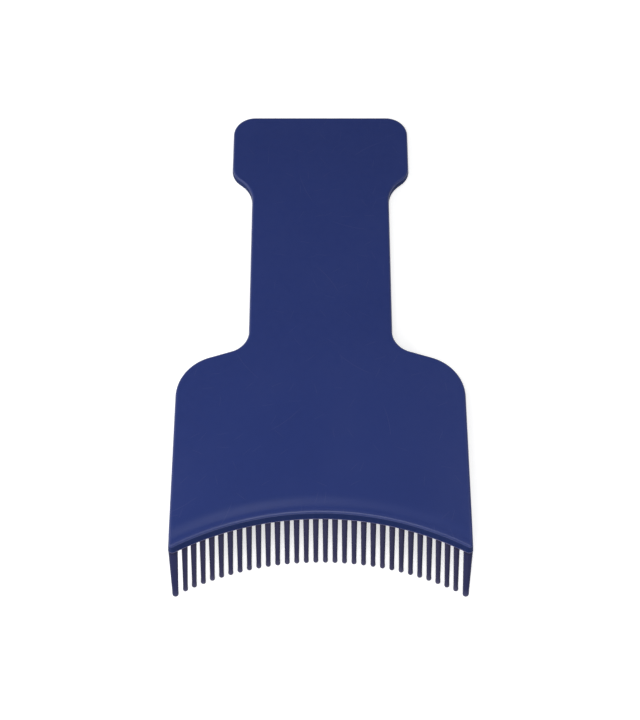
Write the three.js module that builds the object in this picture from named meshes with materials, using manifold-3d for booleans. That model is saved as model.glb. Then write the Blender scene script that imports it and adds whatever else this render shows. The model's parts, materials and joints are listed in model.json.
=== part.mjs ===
// Highlighting board with a comb edge, a flat hair-colouring tool held by its head.
// Millimetres, +Z up. The comb points towards -Y and the head towards +Y.
//
// The real board is one plastic moulding. It is drawn here as the regions of that
// moulding, one solid each: blade, neck, grip head, comb wall and teeth. Neighbouring
// regions share a flat face, so together they fill exactly the one moulding.
//
// The board is first drawn in its own frame: z = 0 is its smooth face, x = 0 is its middle
// plane, and its two front horns would end at y = 0 if they were sharp. Then it is laid
// down on its rear edge and its tooth tips, as it lies on a table.

import * as THREE from 'three';
import { mergeVertices } from 'three/addons/utils/BufferGeometryUtils.js';
import Module from 'manifold-3d';

// Outline of the board
const boardLength = 177.7;
const bladeWidth = 100;
const neckWidth = 50.4;
const headWidth = 65.6;
const bladeSideLength = 57;
const bladeShoulderRadius = 16.2;
const bladeNeckRadius = 8.6;
const bladeShoulderSlope = THREE.MathUtils.degToRad(18);
const headSideLength = 15.5;
const headCornerRadius = 8;
const headShoulderRadius = 7.7;
const headNeckRadius = 10.7;
const headShoulderSlope = THREE.MathUtils.degToRad(41);
const frontArcRadius = 102.4;
const hornRadius = 1.1;

// Section through the board. Below its rounded upper edge the side flares outwards.
const boardThickness = 3;
const edgeRadius = 0.9;
const draft = THREE.MathUtils.degToRad(4);

// Lowered lip along the concave front edge, and the ramp down to it
const lipDrop = 0.4;
const lipWidth = 2.8;
const rampWidth = 3.7;

// Comb wall and teeth
const combWallDepth = 5;
const combWallThickness = 2.4;
const combAngle = THREE.MathUtils.degToRad(45);
const plainToothCount = 30;
const toothLength = 16.9;
const toothRootWidth = 2.1;
const toothTipWidth = 1.65;
const toothRootThickness = 1.6;
const toothTipThickness = 1.3;
const cornerToothRootWidth = 3.2;
const cornerToothTipWidth = 2.15;
const cornerToothGap = 0.8;

// Fineness of the facets
const hornSteps = 3;
const shoulderSteps = 8;
const frontSteps = 24;
const edgeSteps = 3;
const bandSteps = 40;
const toothSides = 12;
const tipSteps = 3;

// Reach of a cutting solid past what it cuts, and the sharpest inner corner
const cutMargin = 5;
const sharpestRadius = 0.2;

const boardPlastic = new THREE.MeshStandardMaterial({ color: 0x2d396d, roughness: 0.35, metalness: 0 });
const combPlastic = new THREE.MeshStandardMaterial({ color: 0x2d2f58, roughness: 0.4, metalness: 0 });

const wasm = await Module();
wasm.setup();

// --- Solids -------------------------------------------------------------------------

// A closed solid through a stack of rings. Each ring has the same number of points and
// turns anticlockwise as seen from the last ring's end. capOutline is a flat view of a
// ring, for the triangles of the two ends.
function solidFromRings(rings, capOutline) {
  const count = capOutline.length;
  const positions = rings.flat().flatMap((point) => [point.x, point.y, point.z]);
  const triangles = [];
  for (let ring = 0; ring + 1 < rings.length; ring += 1) {
    for (let i = 0; i < count; i += 1) {
      const here = ring * count + i;
      const next = ring * count + (i + 1) % count;
      triangles.push(here, next, next + count, here, next + count, here + count);
    }
  }
  const lastRing = (rings.length - 1) * count;
  for (const [a, b, c] of THREE.ShapeUtils.triangulateShape(capOutline, [])) {
    triangles.push(c, b, a, lastRing + a, lastRing + b, lastRing + c);
  }
  return toManifold(positions, triangles);
}

function toManifold(positions, triangles) {
  return new wasm.Manifold(new wasm.Mesh({
    numProp: 3,
    vertProperties: Float32Array.from(positions),
    triVerts: Uint32Array.from(triangles),
  }));
}

// A tall block over the rectangle between two corners, for cutting regions apart.
function blockOver(fromX, toX, fromY, toY) {
  const height = 2 * boardLength;
  const box = new THREE.BoxGeometry(toX - fromX, toY - fromY, height);
  box.translate((fromX + toX) / 2, (fromY + toY) / 2, 0);
  box.deleteAttribute('normal');
  box.deleteAttribute('uv');
  const merged = mergeVertices(box);
  return toManifold(merged.attributes.position.array, merged.index.array);
}

function meshOf(name, solid, material) {
  const { vertProperties, triVerts } = solid.getMesh();
  const geometry = new THREE.BufferGeometry();
  geometry.setAttribute('position', new THREE.BufferAttribute(vertProperties, 3));
  geometry.setIndex(new THREE.BufferAttribute(triVerts, 1));
  geometry.computeVertexNormals();
  const mesh = new THREE.Mesh(geometry, material);
  mesh.name = name;
  return mesh;
}

// --- Outline of the board -----------------------------------------------------------

const frontArcCentreY = -Math.sqrt(frontArcRadius ** 2 - (bladeWidth / 2) ** 2);

// Each shoulder is a convex arc, a short straight line and the concave arc that meets
// the neck. normalAngle is the direction of the line's outward normal.
const bladeShoulder = shoulder(
  new THREE.Vector2(bladeWidth / 2 - bladeShoulderRadius, bladeSideLength),
  bladeShoulderRadius,
  bladeNeckRadius,
  Math.PI / 2 - bladeShoulderSlope,
);
const headShoulder = shoulder(
  new THREE.Vector2(headWidth / 2 - headShoulderRadius, boardLength - headCornerRadius - headSideLength),
  headShoulderRadius,
  headNeckRadius,
  headShoulderSlope - Math.PI / 2,
);

function shoulder(convexCentre, convexRadius, concaveRadius, normalAngle) {
  const x = neckWidth / 2 + concaveRadius;
  const across = (x - convexCentre.x) * Math.cos(normalAngle);
  const y = convexCentre.y + (convexRadius + concaveRadius - across) / Math.sin(normalAngle);
  return { convexCentre, convexRadius, concaveCentre: new THREE.Vector2(x, y), concaveRadius, normalAngle };
}

function arcPoints(centreX, centreY, radius, fromAngle, toAngle, steps) {
  const points = [];
  for (let i = 0; i <= steps; i += 1) {
    const angle = THREE.MathUtils.lerp(fromAngle, toAngle, i / steps);
    points.push(new THREE.Vector2(centreX + radius * Math.cos(angle), centreY + radius * Math.sin(angle)));
  }
  return points;
}

// The board's outline moved inwards by inset, anticlockwise from the middle of the front.
function boardOutline(inset) {
  const sideX = bladeWidth / 2 - inset;
  const frontRadius = frontArcRadius + inset;
  const hornArcRadius = Math.max(hornRadius - inset, sharpestRadius);
  const hornX = sideX - hornArcRadius;
  const hornY = frontArcCentreY + Math.sqrt((frontRadius + hornArcRadius) ** 2 - hornX ** 2);
  const hornAngle = Math.atan2(hornY - frontArcCentreY, hornX);
  const { PI } = Math;

  const convex = ({ convexCentre, convexRadius }, fromAngle, toAngle) => (
    arcPoints(convexCentre.x, convexCentre.y, convexRadius - inset, fromAngle, toAngle, shoulderSteps)
  );
  const concave = ({ concaveCentre, concaveRadius }, fromAngle, toAngle) => (
    arcPoints(concaveCentre.x, concaveCentre.y, concaveRadius + inset, fromAngle, toAngle, shoulderSteps)
  );
  const headCornerX = headWidth / 2 - headCornerRadius;
  const headCornerY = boardLength - headCornerRadius;
  const rightHalf = [
    ...arcPoints(0, frontArcCentreY, frontRadius, PI / 2, hornAngle, frontSteps),
    ...arcPoints(hornX, hornY, hornArcRadius, hornAngle - PI, 0, hornSteps).slice(1),
    ...convex(bladeShoulder, 0, bladeShoulder.normalAngle),
    ...concave(bladeShoulder, bladeShoulder.normalAngle + PI, PI),
    ...concave(headShoulder, PI, headShoulder.normalAngle + PI),
    ...convex(headShoulder, headShoulder.normalAngle, 0),
    ...arcPoints(headCornerX, headCornerY, headCornerRadius - inset, 0, PI / 2, shoulderSteps),
  ];
  const leftHalf = rightHalf.slice(1).reverse().map((point) => new THREE.Vector2(-point.x, point.y));
  return [...rightHalf, ...leftHalf];
}

// A solid between outlines at rising heights, each level being [height, inset].
function outlineStack(levels) {
  const rings = levels.map(([height, inset]) => (
    boardOutline(inset).map((point) => new THREE.Vector3(point.x, point.y, height))
  ));
  return solidFromRings(rings, boardOutline(levels[0][1]));
}

// How far inside the outline the flared side stands at the given depth.
function sideInset(depth) {
  return (edgeRadius - depth) * Math.tan(draft);
}

// Points of the rounded upper edge as [inset, height], from its foot up to the given height.
function upperEdge(height) {
  const foot = arcPoints(edgeRadius, height - edgeRadius, edgeRadius, Math.PI, Math.PI / 2, edgeSteps);
  return foot.map(({ x, y }) => [x, y]);
}

// A profile of [radius, height] points, anticlockwise, swept round the front arc's centre
// far enough to reach past both sides of the blade.
function frontBand(profile) {
  const halfAngle = Math.asin(bladeWidth / 2 / frontArcRadius) + cutMargin / frontArcRadius;
  const rings = [];
  for (let i = 0; i <= bandSteps; i += 1) {
    const angle = Math.PI / 2 + THREE.MathUtils.lerp(halfAngle, -halfAngle, i / bandSteps);
    rings.push(profile.map(([radius, height]) => (
      new THREE.Vector3(radius * Math.cos(angle), frontArcCentreY + radius * Math.sin(angle), height)
    )));
  }
  return solidFromRings(rings, profile.map(([radius, height]) => new THREE.Vector2(radius, height)));
}

// --- Blade, neck, grip head and comb wall -------------------------------------------

// What is cut from the blade in front: the ramp, the lip and the lip's rounded edge.
function lipCutter() {
  const edge = upperEdge(-lipDrop).map(([inset, height]) => (
    [frontArcRadius + sideInset(edgeRadius + lipDrop) + inset, height]
  ));
  const lipBack = frontArcRadius + lipWidth;
  return frontBand([
    [frontArcRadius - cutMargin, -lipDrop - edgeRadius],
    ...edge,
    [lipBack, -lipDrop],
    [lipBack + rampWidth, 0],
    [lipBack + rampWidth, cutMargin],
    [frontArcRadius - cutMargin, cutMargin],
  ]);
}

function boardRegions() {
  const board = outlineStack([
    [-boardThickness, sideInset(boardThickness)],
    ...upperEdge(0).map(([inset, height]) => [height, inset]),
  ]).subtract(lipCutter());
  const halfWidth = bladeWidth / 2 + cutMargin;
  const between = (fromY, toY) => board.intersect(blockOver(-halfWidth, halfWidth, fromY, toY));
  const neckStart = bladeShoulder.concaveCentre.y;
  const headStart = headShoulder.concaveCentre.y;
  return [
    meshOf('blade', between(-cutMargin, neckStart), boardPlastic),
    meshOf('neck', between(neckStart, headStart), boardPlastic),
    meshOf('grip_head', between(headStart, boardLength + cutMargin), boardPlastic),
  ];
}

// The wall under the front edge. The teeth stand on its foot.
function combWall() {
  const band = frontBand([
    [frontArcRadius - cutMargin, -combWallDepth - cutMargin],
    [frontArcRadius + combWallThickness, -combWallDepth - cutMargin],
    [frontArcRadius + combWallThickness, 0],
    [frontArcRadius - cutMargin, 0],
  ]);
  const solid = outlineStack([
    [-combWallDepth, sideInset(combWallDepth)],
    [-boardThickness, sideInset(boardThickness)],
  ]).intersect(band);
  return meshOf('comb_wall', solid, boardPlastic);
}

// --- Teeth --------------------------------------------------------------------------

// A tooth is drawn along +Z, with its width along X and its root cut at a slant, so that
// the root lies flat under the wall once the tooth leans by the comb angle. sideShift
// moves the tip sideways.
function toothSolid(rootWidth, tipWidth, sideShift) {
  const tipRadius = tipWidth / 2;
  const bodyLength = toothLength - tipRadius;
  const widthTaper = (tipWidth - rootWidth) / bodyLength;
  const thicknessTaper = (toothTipThickness - toothRootThickness) / bodyLength;

  const pointAt = (angle, along, scale) => {
    const taperedLength = Math.min(along, bodyLength);
    const halfWidth = scale * (rootWidth + widthTaper * taperedLength) / 2;
    const halfThickness = scale * (toothRootThickness + thicknessTaper * taperedLength) / 2;
    const middle = sideShift * taperedLength / bodyLength;
    return new THREE.Vector3(middle + halfWidth * Math.cos(angle), halfThickness * Math.sin(angle), along);
  };
  // Where the line along the tooth at this angle meets the slanted root.
  const rootPoint = (angle) => {
    const slope = Math.sin(angle) / Math.tan(combAngle);
    return pointAt(angle, slope * toothRootThickness / (2 - slope * thicknessTaper), 1);
  };

  const angles = [];
  for (let i = 0; i < toothSides; i += 1) angles.push((i + 0.5) / toothSides * 2 * Math.PI);
  const rings = [angles.map(rootPoint)];
  for (let i = 0; i < tipSteps; i += 1) {
    const rise = (i / tipSteps) * (Math.PI / 2);
    const along = bodyLength + tipRadius * Math.sin(rise);
    rings.push(angles.map((angle) => pointAt(angle, along, Math.cos(rise))));
  }
  return solidFromRings(rings, rings[0].map((point) => new THREE.Vector2(point.x, point.y)));
}

// Stands a tooth under the middle of the comb wall's foot, at the given place across.
function placeTooth(name, solid, x) {
  const mesh = meshOf(name, solid, combPlastic);
  const footRadius = frontArcRadius + (sideInset(combWallDepth) + combWallThickness) / 2;
  mesh.position.set(x, frontArcCentreY + Math.sqrt(footRadius ** 2 - x ** 2), -combWallDepth);
  mesh.rotation.x = Math.PI / 2 + combAngle;
  return mesh;
}

function teeth() {
  const cornerX = (bladeWidth - cornerToothRootWidth) / 2 - sideInset(combWallDepth);
  const lean = (cornerToothRootWidth - cornerToothTipWidth) / 2;
  const cornerTooth = (shift) => toothSolid(cornerToothRootWidth, cornerToothTipWidth, shift);
  const meshes = [
    placeTooth('corner_tooth_left', cornerTooth(lean), -cornerX),
    placeTooth('corner_tooth_right', cornerTooth(-lean), cornerX),
  ];
  const lastX = bladeWidth / 2 - cornerToothRootWidth - cornerToothGap - toothRootWidth / 2;
  const lastAngle = Math.asin(lastX / frontArcRadius);
  for (let i = 0; i < plainToothCount; i += 1) {
    const angle = THREE.MathUtils.lerp(-lastAngle, lastAngle, i / (plainToothCount - 1));
    const name = `tooth_${String(i + 1).padStart(2, '0')}`;
    const solid = toothSolid(toothRootWidth, toothTipWidth, 0);
    meshes.push(placeTooth(name, solid, frontArcRadius * Math.sin(angle)));
  }
  return meshes;
}

// --- Laying the board down ----------------------------------------------------------

// The slope, in the YZ plane, of the line that the object would rest on: the edge of its
// convex outline from below that its middle stands over.
function restingSlope(object) {
  object.updateMatrixWorld(true);
  const points = [];
  object.traverse((mesh) => {
    if (!mesh.isMesh) return;
    const { position } = mesh.geometry.attributes;
    for (let i = 0; i < position.count; i += 1) {
      points.push(new THREE.Vector3().fromBufferAttribute(position, i).applyMatrix4(mesh.matrixWorld));
    }
  });
  points.sort((a, b) => a.y - b.y || a.z - b.z);
  const hull = [];
  const bendsUp = (a, b, c) => (b.y - a.y) * (c.z - a.z) > (b.z - a.z) * (c.y - a.y);
  for (const point of points) {
    while (hull.length > 1 && !bendsUp(hull.at(-2), hull.at(-1), point)) hull.pop();
    hull.push(point);
  }
  const next = hull.findIndex((point) => point.y > boardLength / 2);
  return Math.atan2(hull[next].z - hull[next - 1].z, hull[next].y - hull[next - 1].y);
}

const moulding = new THREE.Group();
moulding.add(...boardRegions(), combWall(), ...teeth());
moulding.rotation.x = -restingSlope(moulding);

const box = new THREE.Box3().setFromObject(moulding, true);
moulding.position.set(0, -(box.min.y + box.max.y) / 2, -box.min.z);

const highlightingBoard = new THREE.Group();
highlightingBoard.add(moulding);

export default highlightingBoard;
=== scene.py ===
# Looks of a hair highlighting board with a comb edge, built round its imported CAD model.
#
# The board is one moulding of navy plastic. Each region of it is a piece of its own, as in
# the CAD model, and neighbours share one section where they meet, so that the moulded
# surface runs on from piece to piece.
#
# Lengths are millimetres in the board's own frame: z = 0 is the smooth face, x = 0 the
# middle plane, y = 0 the line between the front edge's two horns, and +Y points to the
# grip head. board_to_row() lays that frame down in the row frame, in metres.

import json
import math

import bmesh
import bpy
import numpy as np
from mathutils import Matrix, Vector
from mathutils.geometry import delaunay_2d_cdt


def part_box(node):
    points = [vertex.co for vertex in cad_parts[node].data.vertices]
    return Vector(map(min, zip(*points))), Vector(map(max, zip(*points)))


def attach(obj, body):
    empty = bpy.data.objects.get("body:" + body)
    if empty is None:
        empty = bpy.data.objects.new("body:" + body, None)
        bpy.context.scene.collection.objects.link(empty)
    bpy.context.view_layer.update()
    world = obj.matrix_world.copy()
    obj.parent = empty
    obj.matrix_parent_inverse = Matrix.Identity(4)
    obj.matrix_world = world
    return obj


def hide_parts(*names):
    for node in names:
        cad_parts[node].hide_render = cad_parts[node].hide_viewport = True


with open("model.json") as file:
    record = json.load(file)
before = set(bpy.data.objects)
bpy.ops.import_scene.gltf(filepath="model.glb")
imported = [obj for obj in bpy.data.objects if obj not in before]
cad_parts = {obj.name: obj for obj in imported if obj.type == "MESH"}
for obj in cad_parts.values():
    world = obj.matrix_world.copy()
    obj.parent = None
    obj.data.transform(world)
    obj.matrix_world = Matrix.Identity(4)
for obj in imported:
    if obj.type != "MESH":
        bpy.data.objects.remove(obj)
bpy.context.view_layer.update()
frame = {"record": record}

# --- Dimensions -----------------------------------------------------------------------

MM = 0.001

# Outline of the board
BOARD_LENGTH = 177.7
BLADE_WIDTH = 100.0
NECK_WIDTH = 50.4
HEAD_WIDTH = 65.6
BLADE_SIDE_LENGTH = 57.0
BLADE_SHOULDER_RADIUS = 16.2
BLADE_NECK_RADIUS = 8.6
BLADE_SHOULDER_SLOPE = math.radians(18)
HEAD_SIDE_LENGTH = 15.5
HEAD_CORNER_RADIUS = 8.0
HEAD_SHOULDER_RADIUS = 7.7
HEAD_NECK_RADIUS = 10.7
HEAD_SHOULDER_SLOPE = math.radians(41)
FRONT_RADIUS = 102.4
HORN_RADIUS = 1.1
SHARPEST_RADIUS = 0.2

# Section through the board
THICKNESS = 3.0
EDGE_RADIUS = 0.9
DRAFT = math.radians(4)
LOWER_EDGE_RADIUS = 0.18
FLAT_INSET = 1.4

# Lowered lip along the front edge, and the soft ramp down to it
LIP_DROP = 0.4
RAMP_START = 2.1
RAMP_END = 7.4

# Comb wall. The bead along its foot stands out by BEAD_REACH and is round up to BEAD_TOP,
# where a crease of BEAD_CREASE leads back to the wall.
WALL_DEPTH = 5.0
WALL_THICKNESS = 2.4
WALL_FILLET = 0.5
BEAD_RADIUS = 0.17
BEAD_REACH = 0.1
BEAD_TOP = math.pi * 0.36
BEAD_CREASE = 0.03

# Teeth. Their sections turn from level to square over TURN_LENGTH below the root's flare,
# and the last BULB_LENGTH swells and ends round. SECTION_POWER below 1 makes the sections
# fuller than ellipses, and TIP_TRIM keeps the round tips inside the solids' box.
COMB_ANGLE = math.radians(45)
PLAIN_TEETH = 30
TOOTH_LENGTH = 16.9
TOOTH_ROOT_WIDTH = 2.1
TOOTH_TIP_WIDTH = 1.6
TOOTH_BULB_WIDTH = 1.72
TOOTH_ROOT_THICKNESS = 1.6
TOOTH_TIP_THICKNESS = 1.26
TOOTH_BULB_THICKNESS = 1.36
CORNER_ROOT_WIDTH = 3.2
CORNER_TIP_WIDTH = 2.15
CORNER_GAP = 0.8
ROOT_FLARE = 0.45
ROOT_EMBED = 0.05
TURN_LENGTH = 3.0
BULB_LENGTH = 2.4
SECTION_POWER = 0.9
TIP_TRIM = 0.06

# Paleness, from 0 to 1: rubbing on the board's rounded edge; on the bead under the wall a painted
# highlight, partly the pale of stress-whitened flash; on the tooth tips a painted highlight. The
# edge is rubbed most at RUB_DEPTH and not at all RUB_SPREAD away from there, both as shares of its
# radius. The tips' painted highlight spreads back from the tip over the last length given here.
EDGE_RUBBED = 0.04
BEAD_HIGHLIGHT_AND_WHITENING = 0.9
TIP_HIGHLIGHT = 0.27
RUB_DEPTH = 0.35
RUB_SPREAD = 0.6
TIP_HIGHLIGHT_LENGTH = 3.0

# Painted shade at the roots of the teeth, under the comb wall's foot, from 0 to 1, and how far down
# it reaches
ROOT_SHADE_DARKNESS = 0.75
ROOT_SHADE_LENGTH = 1.8

# Marks of the mould on the underside: ejector pins in mirrored pairs, and the gate's dimple
PIN_PLACES = ((36.0, 17.0), (38.0, 48.0), (17.0, 84.0), (17.0, 122.0), (22.0, 158.0))
PIN_RADIUS = 2.5
PIN_DEPTH = 0.08
PIN_STEP = 0.08
GATE_PLACE = (0.0, 60.0)
GATE_SECTION = ((0, 0.05), (0.55, 0.05), (0.7, 0.35), (1.7, 0.35), (2.1, 0.08), (2.4, 0))

# Fineness of the outline and of the sections through board and wall
FRONT_STEPS = 120
HORN_STEPS = 10
BLADE_SIDE_STEPS = 110
ARC_STEPS = 28
LINE_STEPS = 4
NECK_STEPS = 30
HEAD_STEPS = 12
FILLET_STEPS = 9
LOWER_EDGE_STEPS = 4
BEAD_STEPS = 8
WALL_FILLET_STEPS = 5
MARK_SIDES = 56

# Points over the lip and the ramp, on arcs BAND_STEP apart: how many an arc has, how far
# they stay behind the flat part's front and inside its sides, and how far they go on
# behind the ramp
BAND_STEP = 0.25
BAND_POINTS = 130
BAND_FRONT_GAP = 0.25
BAND_SIDE_GAP = 0.3
BAND_BEHIND_RAMP = 0.6

# Fineness of a tooth, round it and along its parts
TOOTH_SIDES = 32
FLARE_STEPS = 7
TURN_STEPS = 6
SHAFT_STEPS = 5
BULB_STEPS = 5
TIP_STEPS = 8

# Edges sharper than SHARP_ANGLE aren't smoothed. Points nearer to each other or to a cut than
# SAME_POINT become one, and TRIANGULATION_GAP is the same for the points that fill a ring.
SHARP_ANGLE = math.radians(32)
SAME_POINT = 0.001
TRIANGULATION_GAP = 1e-7

# Faces of blade, neck and head whose normal points up by more than this are polished: the smooth
# face and its rounded edge. The others are satin, and the satin copy of the colour is darker as
# painted shade on them.
POLISHED_ABOVE = 0.11

# --- The board's frame ----------------------------------------------------------------


def board_to_row():
    """Matrix from the board's frame in millimetres to the row frame in metres, from the
    smooth face's mount and the head's rear edge."""
    mount = frame["record"]["mounts"][0]
    normal = Vector(mount["axis"])
    on_face = Vector(mount["pos_m"]) / MM
    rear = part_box("grip_head")[1].y / MM
    along = Vector((0, normal.z, -normal.y))
    origin_y = rear - along.y * BOARD_LENGTH + normal.y * EDGE_RADIUS
    origin_z = on_face.z + (on_face.y - origin_y) * normal.y / normal.z
    turn = Matrix(((1, 0, 0), (0, along.y, normal.y), (0, along.z, normal.z))).to_4x4()
    return Matrix.Scale(MM, 4) @ Matrix.Translation((0, origin_y, origin_z)) @ turn


TO_ROW = board_to_row()

# --- Outline of the board -------------------------------------------------------------

FRONT_CENTRE_Y = -math.sqrt(FRONT_RADIUS**2 - (BLADE_WIDTH / 2) ** 2)


def arc(centre, radius, start, end, steps):
    angles = np.linspace(start, end, steps + 1)
    x = centre[0] + radius * np.cos(angles)
    y = centre[1] + radius * np.sin(angles)
    return np.column_stack((x, y))


def line(start, end, steps):
    share = np.linspace(0, 1, steps + 1)[:, None]
    return np.asarray(start) * (1 - share) + np.asarray(end) * share


def shoulder(convex_centre, convex_radius, concave_radius, normal_angle):
    """A convex arc, a short straight line and the concave arc that meets the neck."""
    x = NECK_WIDTH / 2 + concave_radius
    across = (x - convex_centre[0]) * math.cos(normal_angle)
    y = convex_centre[1] + (convex_radius + concave_radius - across) / math.sin(normal_angle)
    return {
        "convex": (convex_centre, convex_radius),
        "concave": ((x, y), concave_radius),
        "normal": normal_angle,
    }


BLADE_SHOULDER = shoulder(
    (BLADE_WIDTH / 2 - BLADE_SHOULDER_RADIUS, BLADE_SIDE_LENGTH),
    BLADE_SHOULDER_RADIUS,
    BLADE_NECK_RADIUS,
    math.pi / 2 - BLADE_SHOULDER_SLOPE,
)
HEAD_SHOULDER = shoulder(
    (HEAD_WIDTH / 2 - HEAD_SHOULDER_RADIUS, BOARD_LENGTH - HEAD_CORNER_RADIUS - HEAD_SIDE_LENGTH),
    HEAD_SHOULDER_RADIUS,
    HEAD_NECK_RADIUS,
    HEAD_SHOULDER_SLOPE - math.pi / 2,
)


def horn(inset):
    """Centre, radius and joining angle of the right horn's arc."""
    radius = max(HORN_RADIUS - inset, SHARPEST_RADIUS)
    x = BLADE_WIDTH / 2 - inset - radius
    y = FRONT_CENTRE_Y + math.sqrt((FRONT_RADIUS + inset + radius) ** 2 - x**2)
    return (x, y), radius, math.atan2(y - FRONT_CENTRE_Y, x)


def front_and_horn(inset):
    """The front edge's right half and the right horn, moved inwards by inset."""
    centre, radius, angle = horn(inset)
    front = arc((0, FRONT_CENTRE_Y), FRONT_RADIUS + inset, math.pi / 2, angle, FRONT_STEPS)
    return front, arc(centre, radius, angle - math.pi, 0, HORN_STEPS)


def joined(stretches):
    """Stretches that each start where the last one ends, as one row of points."""
    return np.vstack([stretches[0]] + [stretch[1:] for stretch in stretches[1:]])


def closed(right):
    """A whole ring from its right half, which starts and ends on the middle plane."""
    left = right[-2:0:-1] * (-1, 1)
    return np.vstack((right, left))


def convex_arc(part, inset, start, end):
    centre, radius = part["convex"]
    return arc(centre, radius - inset, start, end, ARC_STEPS)


def concave_arc(part, inset, start, end):
    centre, radius = part["concave"]
    return arc(centre, radius + inset, start, end, ARC_STEPS)


def outline(inset):
    """The board's outline moved inwards by inset, anticlockwise from the front's middle."""
    front, corner = front_and_horn(inset)
    blade_normal = BLADE_SHOULDER["normal"]
    head_normal = HEAD_SHOULDER["normal"]
    blade_out = convex_arc(BLADE_SHOULDER, inset, 0, blade_normal)
    blade_in = concave_arc(BLADE_SHOULDER, inset, blade_normal + math.pi, math.pi)
    head_in = concave_arc(HEAD_SHOULDER, inset, math.pi, head_normal + math.pi)
    head_out = convex_arc(HEAD_SHOULDER, inset, head_normal, 0)
    head_centre = (HEAD_WIDTH / 2 - HEAD_CORNER_RADIUS, BOARD_LENGTH - HEAD_CORNER_RADIUS)
    head_corner = arc(head_centre, HEAD_CORNER_RADIUS - inset, 0, math.pi / 2, ARC_STEPS)
    return closed(joined([
        front,
        corner,
        line(corner[-1], blade_out[0], BLADE_SIDE_STEPS),
        blade_out,
        line(blade_out[-1], blade_in[0], LINE_STEPS),
        blade_in,
        line(blade_in[-1], head_in[0], NECK_STEPS),
        head_in,
        line(head_in[-1], head_out[0], LINE_STEPS),
        head_out,
        line(head_out[-1], head_corner[0], HEAD_STEPS),
        head_corner,
        line(head_corner[-1], (0, BOARD_LENGTH - inset), HEAD_STEPS),
    ]))


def side_inset(depth):
    """How far inside the outline the side stands at a depth below the face. It flares
    outwards, so that this is negative below the rounded edge."""
    return (EDGE_RADIUS - depth) * math.tan(DRAFT)


def smooth_step(value):
    value = np.clip(value, 0, 1)
    return value * value * (3 - 2 * value)


def behind_front(points):
    """Each point's distance behind the front edge."""
    return np.hypot(points[:, 0], points[:, 1] - FRONT_CENTRE_Y) - FRONT_RADIUS


def lip_height(points):
    """Height of the smooth face. It drops to the lip by a ramp with soft ends, which is
    steepest a third of the way from the lip."""
    share = np.clip((behind_front(points) - RAMP_START) / (RAMP_END - RAMP_START), 0, 1)
    return -LIP_DROP * (1 - share) ** 3 * (1 + 3 * share)


# --- Meshes ---------------------------------------------------------------------------

# Layers of the meshes: the first for rubbed edges and for painted highlights on the bead and the
# tooth tips, the second for painted shade at the tooth roots
RUBBED_AND_HIGHLIT_LAYER = "rubbed_and_highlit"
PAINTED_ROOT_SHADE_LAYER = "painted_root_shade"
WEAR_AND_PAINTED_LIGHT_LAYERS = (RUBBED_AND_HIGHLIT_LAYER, PAINTED_ROOT_SHADE_LAYER)


class Surface:
    """Points and faces of one closed surface under construction. Each point also says how pale its
    rubbing and painted highlight make it, and how much painted shade darkens it, from 0 to 1."""

    def __init__(self):
        self.points = []
        self.wear_and_painted_light = []
        self.faces = []

    def ring(self, points, rubbed_and_highlit=0.0, painted_root_shade=0.0):
        first = len(self.points)
        self.points.extend(tuple(point) for point in points)
        self.wear_and_painted_light.extend([(rubbed_and_highlit, painted_root_shade)] * len(points))
        return list(range(first, len(self.points)))

    def loft(self, rings):
        """Bands of quads between rings. Seen from the last ring's end, rings turn anticlockwise."""
        for low, high in zip(rings, rings[1:]):
            count = len(low)
            for i in range(count):
                j = (i + 1) % count
                self.faces.append((low[i], low[j], high[j], high[i]))

    def cap(self, ring, facing_up, inner=(), height=None):
        """Triangles that fill a ring, over extra inner points at heights from a function."""
        members = list(ring)
        if len(inner):
            members += self.ring(np.column_stack((inner, height(inner))))
        flat = [Vector(self.points[index][:2]) for index in members]
        count = len(ring)
        edges = [(i, (i + 1) % count) for i in range(count)]
        inside_only = 1
        result = delaunay_2d_cdt(flat, edges, [], inside_only, TRIANGULATION_GAP)
        triangles, origins = result[2:4]
        for triangle in triangles:
            corners = [members[origins[corner][0]] for corner in triangle]
            self.faces.append(tuple(corners if facing_up else corners[::-1]))

    def to_bmesh(self):
        bm = bmesh.new()
        for name in WEAR_AND_PAINTED_LIGHT_LAYERS:
            bm.verts.layers.float.new(name)
        layers = [bm.verts.layers.float[name] for name in WEAR_AND_PAINTED_LIGHT_LAYERS]
        vertices = [bm.verts.new(point) for point in self.points]
        for vertex, wear_and_painted_light in zip(vertices, self.wear_and_painted_light):
            for layer, amount in zip(layers, wear_and_painted_light):
                vertex[layer] = amount
        for face in self.faces:
            bm.faces.new([vertices[index] for index in face])
        bmesh.ops.remove_doubles(bm, verts=bm.verts, dist=SAME_POINT)
        return bm


def piece_from(node, bm, materials):
    """A visible piece of the board that stands for a CAD node. Faces that don't look upwards take
    the last of the materials, which for blade, neck and head is the satin one, whose colour is
    painted darker as shade."""
    name = f"{node}_moulding"
    bm.normal_update()
    for face in bm.faces:
        face.material_index = 0 if face.normal.z > POLISHED_ABOVE else len(materials) - 1
    mesh = bpy.data.meshes.new(name)
    bm.to_mesh(mesh)
    bm.free()
    mesh.transform(TO_ROW)
    mesh.polygons.foreach_set("use_smooth", [True] * len(mesh.polygons))
    mesh.set_sharp_from_angle(angle=SHARP_ANGLE)
    for material in materials:
        mesh.materials.append(material)
    piece = bpy.data.objects.new(name, mesh)
    bpy.context.scene.collection.objects.link(piece)
    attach(piece, "root")
    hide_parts(node)


# --- Blade, neck and grip head --------------------------------------------------------


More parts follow.
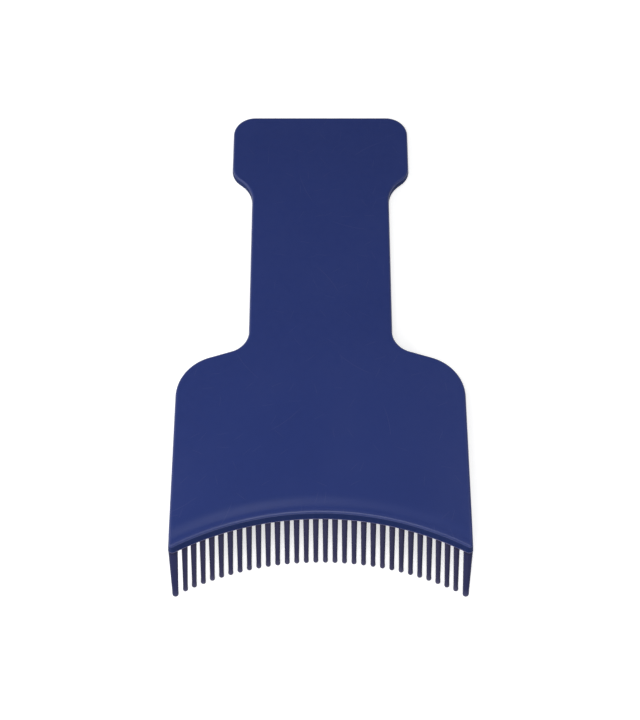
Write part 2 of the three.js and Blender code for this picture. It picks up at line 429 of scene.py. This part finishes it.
def plate_levels():
    """Two sections through the board's edge from the underside up, as (height, inset): the
    usual one, and the one above the comb wall, where the side goes on downwards."""
    foot = -THICKNESS
    foot_inset = side_inset(THICKNESS)
    edge = [(foot, foot_inset + FLAT_INSET)]
    for angle in np.linspace(-math.pi / 2, 0, LOWER_EDGE_STEPS + 1):
        inset = foot_inset + LOWER_EDGE_RADIUS * (1 - math.cos(angle))
        edge.append((foot + LOWER_EDGE_RADIUS * (1 + math.sin(angle)), inset))
    over_wall = [edge[0], *((foot, foot_inset) for _ in edge[1:])]
    shared = []
    for angle in np.linspace(0, math.pi / 2, FILLET_STEPS + 1):
        shared.append((EDGE_RADIUS * (math.sin(angle) - 1), EDGE_RADIUS * (1 - math.cos(angle))))
    shared.append((0, FLAT_INSET))
    return edge + shared, over_wall + shared


def plate_ring(level, level_over_wall):
    """One ring round the board, lowered along the lip."""
    beside = outline(level[1])
    above = outline(level_over_wall[1])
    share = 1 - smooth_step((behind_front(beside) - WALL_THICKNESS) / WALL_FILLET)
    flat = beside * (1 - share[:, None]) + above * share[:, None]
    height = level[0] * (1 - share) + level_over_wall[0] * share
    moved = np.clip((height + THICKNESS) / (THICKNESS - EDGE_RADIUS), 0, 1)
    return np.column_stack((flat, height + lip_height(flat) * moved))


def band_grid():
    """Points over the lip and the ramp, along arcs behind the front edge."""
    widest = BLADE_WIDTH / 2 - FLAT_INSET - BAND_SIDE_GAP
    first = FRONT_RADIUS + FLAT_INSET + BAND_FRONT_GAP
    last = FRONT_RADIUS + RAMP_END + BAND_BEHIND_RAMP
    points = []
    for radius in np.arange(first, last, BAND_STEP):
        reach = math.asin(min(widest / radius, 1))
        for angle in np.linspace(-reach, reach, BAND_POINTS):
            points.append((radius * math.sin(angle), FRONT_CENTRE_Y + radius * math.cos(angle)))
    return np.array(points)


def mould_marks():
    """Each mark on the underside, as its centre, the radii of its steps and their rise."""
    steps = np.array((-4, -1, 0, 3)) * PIN_STEP
    radii = tuple(PIN_RADIUS + steps)
    rises = (PIN_DEPTH, PIN_DEPTH, 0, 0)
    marks = [((side * x, y), radii, rises) for x, y in PIN_PLACES for side in (-1, 1)]
    marks.append((GATE_PLACE, *zip(*GATE_SECTION)))
    return marks


def mark_points():
    points = []
    for (x, y), radii, _ in mould_marks():
        for radius in radii:
            sides = MARK_SIDES if radius else 1
            for angle in np.linspace(0, 2 * math.pi, sides, endpoint=False):
                points.append((x + radius * math.cos(angle), y + radius * math.sin(angle)))
    return np.array(points)


def underside_height(points):
    rise = np.zeros(len(points))
    for centre, radii, rises in mould_marks():
        away = np.hypot(points[:, 0] - centre[0], points[:, 1] - centre[1])
        rise += np.interp(away, radii, rises)
    return rise - THICKNESS


def rubbed_share(height):
    """How much a level of the board's rounded upper edge is rubbed."""
    away = abs(height / EDGE_RADIUS + RUB_DEPTH)
    return EDGE_RUBBED * max(0.0, 1 - away / RUB_SPREAD)


def plate_surface():
    surface = Surface()
    rings = []
    for level, level_over_wall in zip(*plate_levels()):
        ring = plate_ring(level, level_over_wall)
        rings.append(surface.ring(ring, rubbed_share(level[0])))
    surface.loft(rings)
    surface.cap(rings[-1], facing_up=True, inner=band_grid(), height=lip_height)
    surface.cap(rings[0], facing_up=False, inner=mark_points(), height=underside_height)
    return surface


def cut_plate(bm, place, keep_behind):
    """Cuts the plate straight across at y = place and closes the cut."""
    geometry = bm.verts[:] + bm.edges[:] + bm.faces[:]
    result = bmesh.ops.bisect_plane(
        bm,
        geom=geometry,
        dist=SAME_POINT,
        plane_co=(0, place, 0),
        plane_no=(0, 1, 0),
        clear_inner=keep_behind,
        clear_outer=not keep_behind,
    )
    edges = [item for item in result["geom_cut"] if isinstance(item, bmesh.types.BMEdge)]
    bmesh.ops.holes_fill(bm, edges=edges, sides=0)
    bmesh.ops.recalc_face_normals(bm, faces=bm.faces)


def add_plates(materials):
    whole = plate_surface().to_bmesh()
    neck_start = BLADE_SHOULDER["concave"][0][1]
    head_start = HEAD_SHOULDER["concave"][0][1]
    blade = whole.copy()
    cut_plate(blade, neck_start, keep_behind=False)
    neck = whole.copy()
    cut_plate(neck, neck_start, keep_behind=True)
    cut_plate(neck, head_start, keep_behind=False)
    cut_plate(whole, head_start, keep_behind=True)
    piece_from("blade", blade, materials)
    piece_from("neck", neck, materials)
    piece_from("grip_head", whole, materials)


# --- Comb wall ------------------------------------------------------------------------


def wall_levels():
    """Section through the comb wall from its foot up: height, the front's inset, the back's
    distance behind the front edge and how pale that level is painted, which on the bead is a
    painted highlight, partly the pale of stress-whitened flash."""
    bead_height = -WALL_DEPTH + BEAD_RADIUS
    bead_inset = side_inset(-bead_height) + BEAD_RADIUS - BEAD_REACH
    levels = []
    for angle in np.linspace(-math.pi / 2, BEAD_TOP, BEAD_STEPS + 1):
        height = bead_height + BEAD_RADIUS * math.sin(angle)
        inset = bead_inset - BEAD_RADIUS * math.cos(angle)
        # The bead's paleness is a painted highlight, partly the pale of stress-whitened flash.
        levels.append((height, inset, WALL_THICKNESS, BEAD_HIGHLIGHT_AND_WHITENING))
    low = levels[-1][0] + BEAD_CREASE
    levels.append((low, side_inset(-low), WALL_THICKNESS, 0))
    for angle in np.linspace(0, math.pi / 2, WALL_FILLET_STEPS + 1):
        height = -THICKNESS - WALL_FILLET * (1 - math.sin(angle))
        back = WALL_THICKNESS + WALL_FILLET * (1 - math.cos(angle))
        levels.append((height, side_inset(-height), back, 0))
    return levels


def wall_ring(height, inset, back):
    front, corner = front_and_horn(inset)
    side_x = BLADE_WIDTH / 2 - inset
    back_radius = FRONT_RADIUS + back
    back_angle = math.acos(side_x / back_radius)
    behind = arc((0, FRONT_CENTRE_Y), back_radius, back_angle, math.pi / 2, FRONT_STEPS)
    ring = closed(joined([front, corner, line(corner[-1], behind[0], LINE_STEPS), behind]))
    widest = BLADE_WIDTH / 2 - side_inset(WALL_DEPTH)
    ring[:, 0] = np.clip(ring[:, 0], -widest, widest)
    return np.column_stack((ring, np.full(len(ring), height)))


def add_comb_wall(material):
    surface = Surface()
    rings = [surface.ring(wall_ring(*level), rubbed_and_highlit) for *level, rubbed_and_highlit in wall_levels()]
    surface.loft(rings)
    surface.cap(rings[-1], facing_up=True)
    surface.cap(rings[0], facing_up=False)
    piece_from("comb_wall", surface.to_bmesh(), [material])


# --- Teeth ----------------------------------------------------------------------------


def tooth_stations(root_width, tip_width, bulb_width):
    """Stations along a tooth: distance, slant of the section, half width, half thickness
    and how far the root's flare reaches sideways."""
    length = TOOTH_LENGTH - TIP_TRIM
    shaft_end = length - BULB_LENGTH
    bulb_radius = bulb_width / 2
    stations = []

    def shaft(distance):
        share = distance / shaft_end
        width = root_width + (tip_width - root_width) * share
        thickness = TOOTH_ROOT_THICKNESS + (TOOTH_TIP_THICKNESS - TOOTH_ROOT_THICKNESS) * share
        return width / 2, thickness / 2

    stations.append((-ROOT_EMBED / math.sin(COMB_ANGLE), 1, *shaft(0), ROOT_FLARE))
    for angle in np.linspace(0, math.pi / 2, FLARE_STEPS + 1):
        distance = ROOT_FLARE * (1 - math.cos(angle)) / math.sin(COMB_ANGLE)
        stations.append((distance, 1, *shaft(distance), ROOT_FLARE * (1 - math.sin(angle))))
    flare_end = stations[-1][0]
    for share in np.linspace(0, 1, TURN_STEPS + 1)[1:]:
        distance = flare_end + TURN_LENGTH * share
        stations.append((distance, 1 - smooth_step(share), *shaft(distance), 0))
    for distance in np.linspace(flare_end + TURN_LENGTH, shaft_end, SHAFT_STEPS + 1)[1:]:
        stations.append((distance, 0, *shaft(distance), 0))
    bulb_start = length - bulb_radius
    for share in np.linspace(0, 1, BULB_STEPS + 1)[1:]:
        width, thickness = shaft(shaft_end)
        grown = smooth_step(share)
        width += (bulb_radius - width) * grown
        thickness += (TOOTH_BULB_THICKNESS / 2 - thickness) * grown
        stations.append((shaft_end + (bulb_start - shaft_end) * share, 0, width, thickness, 0))
    for angle in np.linspace(0, math.pi / 2, TIP_STEPS + 1)[1:-1]:
        scale = math.cos(angle)
        distance = bulb_start + bulb_radius * math.sin(angle)
        stations.append((distance, 0, bulb_radius * scale, TOOTH_BULB_THICKNESS / 2 * scale, 0))
    return stations


def tip_highlight(distance):
    """How much painted highlight a tooth has at a distance from its root, strongest at the tip."""
    from_tip = TOOTH_LENGTH - TIP_TRIM - distance
    return TIP_HIGHLIGHT * float(smooth_step(1 - from_tip / TIP_HIGHLIGHT_LENGTH))


def root_shade_share(distance):
    """How much painted shade darkens a tooth at a distance from its root."""
    return ROOT_SHADE_DARKNESS * float(1 - smooth_step(distance / ROOT_SHADE_LENGTH))


def tooth_bmesh(root_width, tip_width, bulb_width, lean, flare_sides):
    """A tooth along +Z with its root at the origin. lean moves the tip sideways, and
    flare_sides says whether the root flares towards -X and towards +X."""
    surface = Surface()
    rings = []
    angles = (np.arange(TOOTH_SIDES) + 0.5) / TOOTH_SIDES * 2 * math.pi
    cosine = np.sign(np.cos(angles)) * np.abs(np.cos(angles)) ** SECTION_POWER
    sine = np.sign(np.sin(angles)) * np.abs(np.sin(angles)) ** SECTION_POWER
    side_flare = np.where(cosine > 0, flare_sides[1], flare_sides[0])
    stations = tooth_stations(root_width, tip_width, bulb_width)
    for distance, slant, half_width, half_thickness, flare in stations:
        share = np.clip(distance / TOOTH_LENGTH, 0, 1)
        x = cosine * (half_width + flare * side_flare) + lean * share
        y = sine * half_thickness
        z = distance + slant * y / math.tan(COMB_ANGLE)
        points = np.column_stack((x, y, z))
        # Each ring carries the tip's painted highlight and the root's painted shade.
        rings.append(surface.ring(points, tip_highlight(distance), root_shade_share(distance)))
    surface.loft(rings)
    tip = surface.ring([(lean, 0, TOOTH_LENGTH - TIP_TRIM)], TIP_HIGHLIGHT)[0]
    last = rings[-1]
    for i in range(TOOTH_SIDES):
        surface.faces.append((last[i], last[(i + 1) % TOOTH_SIDES], tip))
    surface.faces.append(tuple(reversed(rings[0])))
    return surface.to_bmesh()


def stand_tooth(bm, x):
    """Stands a tooth under the middle of the comb wall's foot."""
    foot_radius = FRONT_RADIUS + (side_inset(WALL_DEPTH) + WALL_THICKNESS) / 2
    y = FRONT_CENTRE_Y + math.sqrt(foot_radius**2 - x**2)
    lean_down = Matrix.Rotation(math.pi / 2 + COMB_ANGLE, 4, "X")
    bm.transform(Matrix.Translation((x, y, -WALL_DEPTH)) @ lean_down)


def add_teeth(material, corner_material):
    corner_x = (BLADE_WIDTH - CORNER_ROOT_WIDTH) / 2 - side_inset(WALL_DEPTH)
    lean = (CORNER_ROOT_WIDTH - CORNER_TIP_WIDTH) / 2
    for side, name in ((-1, "left"), (1, "right")):
        flare_sides = (0, 1) if side < 0 else (1, 0)
        widths = (CORNER_ROOT_WIDTH, CORNER_TIP_WIDTH, CORNER_TIP_WIDTH)
        bm = tooth_bmesh(*widths, -side * lean, flare_sides)
        stand_tooth(bm, side * corner_x)
        piece_from(f"corner_tooth_{name}", bm, [corner_material])
    last_x = BLADE_WIDTH / 2 - CORNER_ROOT_WIDTH - CORNER_GAP - TOOTH_ROOT_WIDTH / 2
    last_angle = math.asin(last_x / FRONT_RADIUS)
    for index, angle in enumerate(np.linspace(-last_angle, last_angle, PLAIN_TEETH)):
        bm = tooth_bmesh(TOOTH_ROOT_WIDTH, TOOTH_TIP_WIDTH, TOOTH_BULB_WIDTH, 0, (1, 1))
        stand_tooth(bm, FRONT_RADIUS * math.sin(angle))
        piece_from(f"tooth_{index + 1:02d}", bm, [material])


# --- Materials ------------------------------------------------------------------------


class Nodes:
    """The nodes of one material or world, with short ways to add and join them."""

    def __init__(self, owner):
        owner.use_nodes = True
        self.tree = owner.node_tree

    def add(self, kind, inputs, **settings):
        node = self.tree.nodes.new(kind)
        for name, value in settings.items():
            setattr(node, name, value)
        for name, value in inputs.items():
            self.give(node.inputs[name], value)
        return node

    def give(self, socket, value):
        if isinstance(value, bpy.types.NodeSocket):
            self.tree.links.new(value, socket)
        else:
            socket.default_value = value

    def math(self, operation, first, second=0.0):
        return self.add("ShaderNodeMath", {0: first, 1: second}, operation=operation).outputs[0]

    def fade(self, value, low, high, at_low=0.0, at_high=1.0):
        """Runs smoothly from at_low to at_high while value goes from low to high."""
        inputs = {
            "Value": value,
            "From Min": low,
            "From Max": high,
            "To Min": at_low,
            "To Max": at_high,
        }
        node = self.add("ShaderNodeMapRange", inputs, interpolation_type="SMOOTHSTEP")
        return node.outputs["Result"]

    def noise(self, place, size, detail):
        """Noise round 0.5 with features of about the given size."""
        inputs = {"Vector": place, "Scale": 1 / size, "Detail": detail}
        return self.add("ShaderNodeTexNoise", inputs).outputs["Fac"]

    def blend(self, share, first, second):
        node = self.add("ShaderNodeMix", {0: share, 6: first, 7: second}, data_type="RGBA")
        return node.outputs[2]

    def attribute(self, name):
        """A share from 0 to 1 from a layer of the mesh: rubbing with painted highlights in one
        layer, and painted shade in the other.
        """
        return self.add("ShaderNodeAttribute", {}, attribute_name=name).outputs["Fac"]

    def scratches(self, place, cell, length, width, share):
        """Fine, slightly bowed scratches in random directions, one in some of the cells."""
        inputs = {"Vector": place, "Scale": 1 / cell}
        cells = self.add("ShaderNodeTexVoronoi", inputs, voronoi_dimensions="2D")
        random = self.add("ShaderNodeSeparateColor", {"Color": cells.outputs["Color"]}).outputs
        inputs = {0: place, 1: cells.outputs["Position"]}
        away = self.add("ShaderNodeVectorMath", inputs, operation="SUBTRACT").outputs[0]
        inputs = {"Vector": away, "Angle": self.math("MULTIPLY", random["Red"], 2 * math.pi)}
        turned = self.add("ShaderNodeVectorRotate", inputs, rotation_type="Z_AXIS").outputs[0]
        parts = self.add("ShaderNodeSeparateXYZ", {"Vector": turned}).outputs
        bow = self.math("MULTIPLY", self.math("MULTIPLY", parts["X"], parts["X"]), SCRATCH_BOW)
        across = self.math("ABSOLUTE", self.math("ADD", parts["Y"], bow))
        along = self.math("ABSOLUTE", parts["X"])
        line = self.fade(across, 0, width, 1, 0)
        run = self.fade(along, length / 4, length / 2, 1, 0)
        chosen = self.math("LESS_THAN", random["Green"], share)
        return self.math("MULTIPLY", self.math("MULTIPLY", line, run), chosen)


# Sizes of what shows in the plastic, in millimetres
CLOUD_SIZE = 38.0
MOTTLE_SIZE = 2.2
WAVE_SIZE = 7.0
WAVE_HEIGHT = 0.012
GRAIN_SIZE = 0.14
SMUDGE_SIZE = 14.0
SCRATCH_DEPTH = 0.002
RUB_AND_HIGHLIGHT_PATCH_SIZE = 2.5

# Scratches lie in the cells of an irregular pattern, and only a share of the cells have
# one. A scratch bends aside by SCRATCH_BOW times the square of the distance from its middle.
LONG_SCRATCHES = {"cell": 19.0, "length": 16.0, "width": 0.13, "share": 0.45}
SHORT_SCRATCHES = {"cell": 6.0, "length": 5.0, "width": 0.1, "share": 0.35}
SCRATCH_BOW = 0.015

# Values of the noise, or of the upright part of the normal, between which each of these
# goes from nothing to all of it
SMUDGE_FADE = (0.5, 0.68)
MOTTLE_FADE = (0.35, 0.65)
POLISH_FADE = (0.3, 0.7)
RUB_AND_HIGHLIGHT_PATCH_FADE = (0.3, 0.6)
LEVEL_FADE = (0.6, 0.9)

# Colours, and what the plastic's colour is multiplied by
# Pale of scratches, of rubbed edges and of the painted highlights on bead and tooth tips
PALE_WEAR_AND_HIGHLIGHT_COLOUR = (0.19, 0.18, 0.31, 1)
# Painted shade at the tooth roots
ROOT_SHADE_COLOUR = (0.006, 0.005, 0.032, 1)
DARKEST_CLOUD = 0.93
LIGHTEST_CLOUD = 1.07
MOTTLE_BRIGHTNESS = 1.04
MOTTLE_SHARE = 0.5
SCRATCH_PALENESS = 0.12
LEAST_RUB_AND_HIGHLIGHT = 0.4

# What is added to the plastic's roughness
SMOOTHEST_CLOUD = -0.015
ROUGHEST_CLOUD = 0.025
SMUDGE_ROUGHNESS = 0.04
SCRATCH_ROUGHNESS = 0.12
RUB_AND_HIGHLIGHT_ROUGHNESS = 0.15
ROOT_SHADE_ROUGHNESS = 0.2

PLASTIC_IOR = 1.49

# Each plastic's colour, roughness, specular level and height of the grain in millimetres
POLISHED = ((0.0158, 0.0318, 0.154), 0.3, 0.4, 0.001)
# The satin colour is the polished one painted darker as shade, for the faces that don't look up and
# for the comb wall.
SHADED_SATIN = ((0.0165, 0.0295, 0.115), 0.55, 0.03, 0.002)
# The comb's colour is the board's plastic painted darker and purpler as shade on the teeth, and the
# corner teeth's colour is a bluer copy painted as the light on them.
SHADED_COMB = ((0.023, 0.0225, 0.07), 0.36, 0.35, 0.0015)
SHADED_CORNER_COMB = ((0.0175, 0.0205, 0.078), 0.36, 0.3, 0.0015)


def scaled(colour, factor):
    return (*[channel * factor for channel in colour], 1)


def plastic(name, colour, roughness, specular, grain_height):
    """Moulded plastic: soft clouds and mottling in its colour, a fine grain over a slightly wavy
    surface, smudges, hairline scratches, paler rubbed edges with painted highlights on bead and
    tooth tips, and painted shade at the tooth roots."""
    material = bpy.data.materials.new(name)
    nodes = Nodes(material)
    shader = nodes.tree.nodes["Principled BSDF"]
    shader.inputs["IOR"].default_value = PLASTIC_IOR
    shader.inputs["Specular IOR Level"].default_value = specular
    coordinates = nodes.add("ShaderNodeTexCoord", {}).outputs
    inputs = {0: coordinates["Object"], "Scale": 1 / MM}
    place = nodes.add("ShaderNodeVectorMath", inputs, operation="SCALE").outputs[0]

    clouds = nodes.noise(place, CLOUD_SIZE, detail=3)
    mottle = nodes.fade(nodes.noise(place, MOTTLE_SIZE, detail=4), *MOTTLE_FADE, 0, MOTTLE_SHARE)
    smudges = nodes.fade(nodes.noise(place, SMUDGE_SIZE, detail=3), *SMUDGE_FADE)
    long_ones = nodes.scratches(place, **LONG_SCRATCHES)
    short_ones = nodes.scratches(place, **SHORT_SCRATCHES)
    upright = nodes.add("ShaderNodeSeparateXYZ", {"Vector": coordinates["Normal"]}).outputs["Z"]
    level = nodes.fade(nodes.math("ABSOLUTE", upright), *LEVEL_FADE)
    scratches = nodes.math("MULTIPLY", nodes.math("MAXIMUM", long_ones, short_ones), level)
    patches = nodes.fade(nodes.noise(place, RUB_AND_HIGHLIGHT_PATCH_SIZE, detail=3), *RUB_AND_HIGHLIGHT_PATCH_FADE, LEAST_RUB_AND_HIGHLIGHT, 1)
    # Paleness of rubbed edges and of the painted highlights on bead and tooth tips
    rubbed_and_highlit = nodes.math("MULTIPLY", nodes.attribute(RUBBED_AND_HIGHLIT_LAYER), patches)
    # Painted shade at the tooth roots
    painted_root_shade = nodes.attribute(PAINTED_ROOT_SHADE_LAYER)

    tinted = nodes.blend(clouds, scaled(colour, DARKEST_CLOUD), scaled(colour, LIGHTEST_CLOUD))
    mottled = nodes.blend(mottle, tinted, scaled(colour, MOTTLE_BRIGHTNESS))
    paleness = nodes.math("MULTIPLY", scratches, SCRATCH_PALENESS)
    scratched = nodes.blend(paleness, mottled, PALE_WEAR_AND_HIGHLIGHT_COLOUR)
    # Pale for rubbing and for painted highlight
    worn_and_highlit = nodes.blend(rubbed_and_highlit, scratched, PALE_WEAR_AND_HIGHLIGHT_COLOUR)
    # Dark for painted shade at the tooth roots
    nodes.give(shader.inputs["Base Color"], nodes.blend(painted_root_shade, worn_and_highlit, ROOT_SHADE_COLOUR))

    matt = nodes.math("MULTIPLY", smudges, SMUDGE_ROUGHNESS)
    wear_and_painted_light = ((scratches, SCRATCH_ROUGHNESS), (rubbed_and_highlit, RUB_AND_HIGHLIGHT_ROUGHNESS), (painted_root_shade, ROOT_SHADE_ROUGHNESS))
    for amount, rougher in wear_and_painted_light:
        matt = nodes.math("ADD", matt, nodes.math("MULTIPLY", amount, rougher))
    smoothest = roughness + SMOOTHEST_CLOUD
    roughest = roughness + ROUGHEST_CLOUD
    polish = nodes.fade(clouds, *POLISH_FADE, smoothest, roughest)
    nodes.give(shader.inputs["Roughness"], nodes.math("ADD", polish, matt))

    grain = nodes.math("MULTIPLY", nodes.noise(place, GRAIN_SIZE, detail=2), grain_height)
    waves = nodes.math("MULTIPLY", nodes.noise(place, WAVE_SIZE, detail=1), WAVE_HEIGHT)
    cuts = nodes.math("MULTIPLY", scratches, SCRATCH_DEPTH)
    height = nodes.math("SUBTRACT", nodes.math("ADD", grain, waves), cuts)
    bump = nodes.add("ShaderNodeBump", {"Strength": 1.0, "Distance": MM, "Height": height})
    nodes.give(shader.inputs["Normal"], bump.outputs["Normal"])
    return material


# --- Stage ----------------------------------------------------------------------------

FLOOR_REACH = 4.0
FLOOR_GREY = 0.78
FLOOR_ROUGHNESS = 0.9
FLOOR_GLOW = 0.6

# Brightness of the world above its white horizon, and the sines of the two elevations
# between which it fades
CEILING = 0.18
HORIZON_FADE = (math.sin(math.radians(1)), math.sin(math.radians(14)))

# Softboxes that face one point, in metres: name, azimuth from the comb's side to the right
# and elevation in degrees, distance, size and brightness
LIT_POINT = Vector((0, -0.03, 0))
SOFTBOXES = (
    ("front_softbox", 0, 60, 0.5, (0.2, 0.38), 4.2),
    ("left_softbox", 280, 42, 0.45, (0.4, 0.3), 3.0),
    ("left_rear_softbox", 232, 30, 0.5, (0.35, 0.2), 0.5),
    ("right_softbox", 110, 58, 0.55, (0.3, 0.25), 1.6),
)

# A small lamp straight above the ramp
RAMP_LAMP_PLACE = Vector((-0.024, -0.033, 0.215))
RAMP_LAMP_SIZE = (0.044, 0.08)
RAMP_LAMP_BRIGHTNESS = 1.5

# The camera looks at a point on the board from the comb's side, tilted off the board's
# normal. The point is in the board's frame, and its distance is in millimetres too.
CAMERA_TILT = math.radians(30)
CAMERA_AIM = Vector((-0.212, 71.53, -0.85))
CAMERA_DISTANCE = 571.6
CAMERA_LENS = 81.97
CAMERA_SENSOR = 36


def add_floor():
    """A pale floor that glows for camera, glossy and transmission rays alone, so that it
    looks white, keeps the board's shadow and adds no light to the board's colour."""
    mesh = bpy.data.meshes.new("floor")
    sides = ((-1, -1), (1, -1), (1, 1), (-1, 1))
    corners = [(x * FLOOR_REACH, y * FLOOR_REACH, 0) for x, y in sides]
    mesh.from_pydata(corners, [], [(0, 1, 2, 3)])
    floor = bpy.data.objects.new("floor", mesh)
    bpy.context.scene.collection.objects.link(floor)
    material = bpy.data.materials.new("pale_floor")
    nodes = Nodes(material)
    shader = nodes.tree.nodes["Principled BSDF"]
    shader.inputs["Base Color"].default_value = (FLOOR_GREY, FLOOR_GREY, FLOOR_GREY, 1)
    shader.inputs["Roughness"].default_value = FLOOR_ROUGHNESS
    shader.inputs["Specular IOR Level"].default_value = 0.0
    shader.inputs["Emission Color"].default_value = (1, 1, 1, 1)
    path = nodes.add("ShaderNodeLightPath", {}).outputs
    seen = nodes.math("MAXIMUM", path["Is Camera Ray"], path["Is Glossy Ray"])
    seen = nodes.math("MAXIMUM", seen, path["Is Transmission Ray"])
    nodes.give(shader.inputs["Emission Strength"], nodes.math("MULTIPLY", seen, FLOOR_GLOW))
    mesh.materials.append(material)


def add_lamp(name, place, target, size, brightness):
    """A soft rectangular lamp. Its power is pi times its area times its brightness."""
    data = bpy.data.lights.new(name, "AREA")
    data.shape = "RECTANGLE"
    data.size, data.size_y = size
    data.energy = brightness * math.pi * size[0] * size[1]
    lamp = bpy.data.objects.new(name, data)
    lamp.location = place
    lamp.rotation_euler = (target - place).to_track_quat("-Z", "Y").to_euler()
    lamp.visible_camera = False
    bpy.context.scene.collection.objects.link(lamp)


def add_softbox(name, azimuth, elevation, distance, size, brightness):
    azimuth = math.radians(azimuth)
    elevation = math.radians(elevation)
    level = distance * math.cos(elevation)
    away = Vector((
        level * math.sin(azimuth),
        -level * math.cos(azimuth),
        distance * math.sin(elevation),
    ))
    add_lamp(name, LIT_POINT + away, LIT_POINT, size, brightness)


def add_lamps():
    for softbox in SOFTBOXES:
        add_softbox(*softbox)
    below = Vector((RAMP_LAMP_PLACE.x, RAMP_LAMP_PLACE.y, 0))
    add_lamp("ramp_lamp", RAMP_LAMP_PLACE, below, RAMP_LAMP_SIZE, RAMP_LAMP_BRIGHTNESS)


def add_world():
    """A white horizon under a dim ceiling."""
    world = bpy.data.worlds.new("studio")
    bpy.context.scene.world = world
    nodes = Nodes(world)
    direction = nodes.add("ShaderNodeTexCoord", {}).outputs["Generated"]
    height = nodes.add("ShaderNodeSeparateXYZ", {"Vector": direction}).outputs["Z"]
    background = nodes.tree.nodes["Background"]
    background.inputs["Color"].default_value = (1, 1, 1, 1)
    nodes.give(background.inputs["Strength"], nodes.fade(height, *HORIZON_FADE, 1, CEILING))


def add_camera():
    """A camera at the photograph's viewing angle, level with the board's cross direction."""
    view = Vector((0, math.sin(CAMERA_TILT), -math.cos(CAMERA_TILT)))
    up = Vector((0, math.cos(CAMERA_TILT), math.sin(CAMERA_TILT)))
    turn = TO_ROW.to_3x3().normalized()
    back = -(turn @ view)
    upward = turn @ up
    right = upward.cross(back)
    data = bpy.data.cameras.new("camera")
    data.sensor_width = CAMERA_SENSOR
    data.lens = CAMERA_LENS
    camera = bpy.data.objects.new("camera", data)
    camera.matrix_world = Matrix((right, upward, back)).transposed().to_4x4()
    camera.location = TO_ROW @ (CAMERA_AIM - view * CAMERA_DISTANCE)
    bpy.context.scene.collection.objects.link(camera)
    bpy.context.scene.camera = camera


bpy.context.scene.view_settings.view_transform = "Standard"
polished = plastic("polished_board_plastic", *POLISHED)
# Satin finish, in a copy of the colour painted darker as shade on the sides, the underside and the
# comb wall
shaded_satin = plastic("satin_board_plastic", *SHADED_SATIN)
# The teeth's plastic, painted darker as shade, and a bluer painted copy for the corner teeth
shaded_comb = plastic("comb_plastic", *SHADED_COMB)
shaded_corner_comb = plastic("corner_comb_plastic", *SHADED_CORNER_COMB)
add_plates([polished, shaded_satin])
add_comb_wall(shaded_satin)
add_teeth(shaded_comb, shaded_corner_comb)
add_floor()
add_world()
add_lamps()
add_camera()
